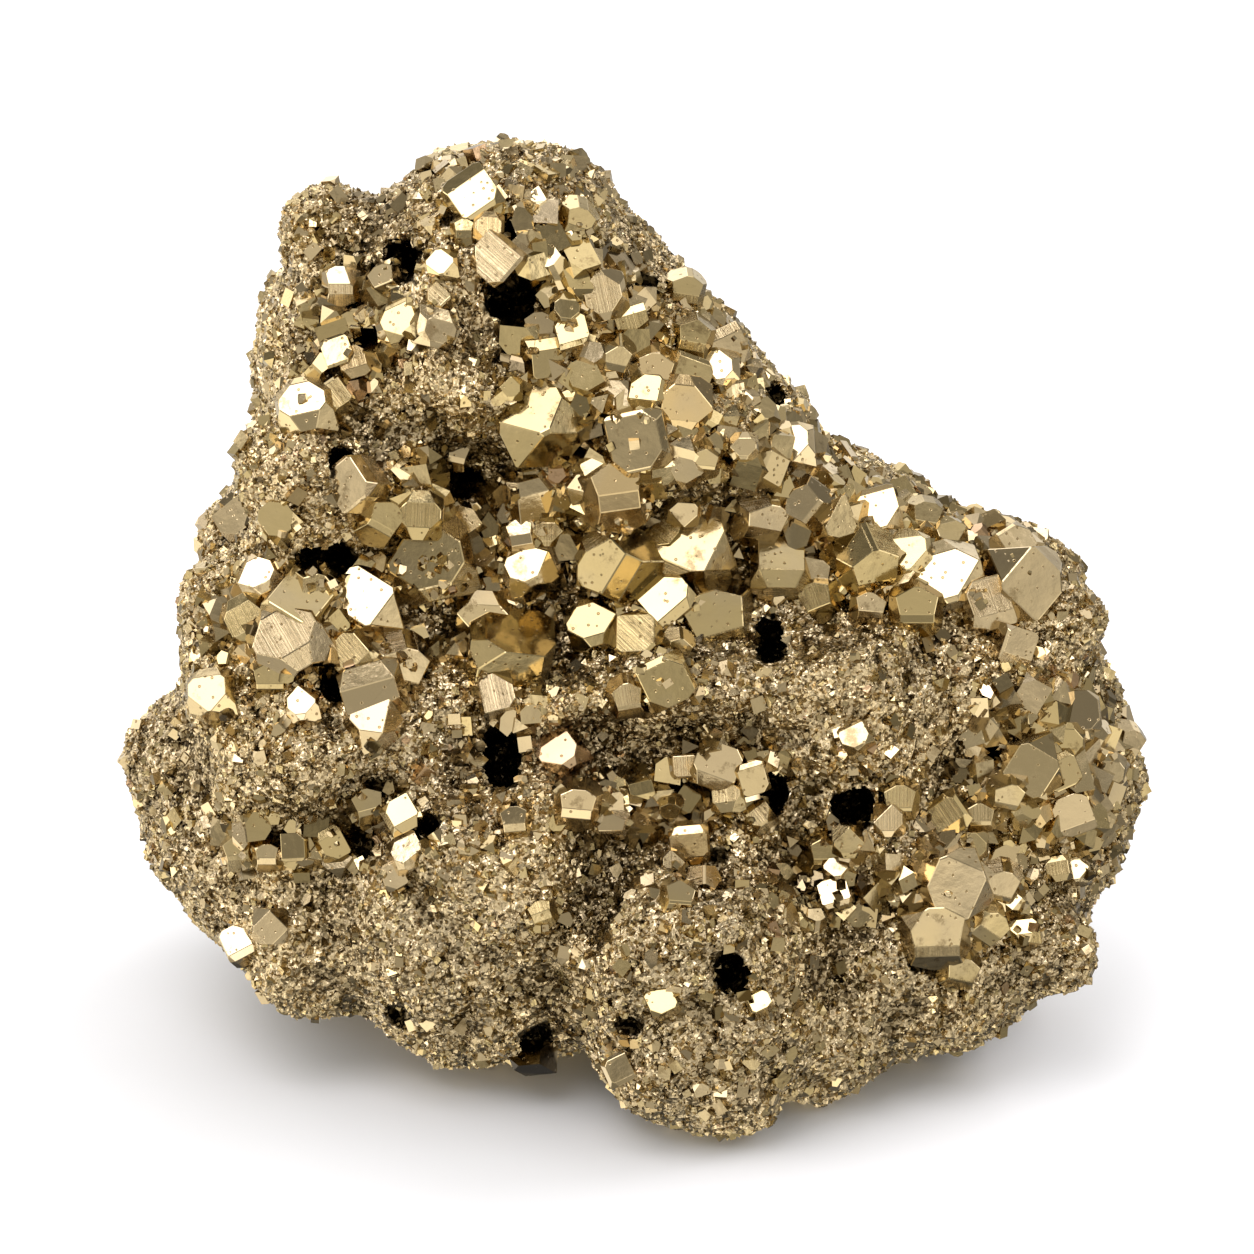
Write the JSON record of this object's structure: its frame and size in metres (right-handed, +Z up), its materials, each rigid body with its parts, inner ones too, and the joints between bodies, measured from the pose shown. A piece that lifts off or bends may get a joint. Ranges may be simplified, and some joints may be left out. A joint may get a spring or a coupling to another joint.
{
  "type": "pyrite specimen",
  "caption": "Natural pyrite cluster: a lobed, granular mass grown together with flat-faced cubic crystals, pitted with small pockets and flat where it rests.",
  "frame": {"origin": "middle of the specimen's width and depth, on the plane it rests on", "axes": "+Z up, +X to the right along the specimen's width as seen from its display side, which faces -Y"},
  "size_m": [0.1002, 0.0713, 0.0876],
  "materials": {
    "pyrite": "natural metallic crystal faces and granular ground, pale brass yellow"
  },
  "bodies": {
    "root": {"pyrite_cluster": "pyrite"}
  },
  "joints": []
}
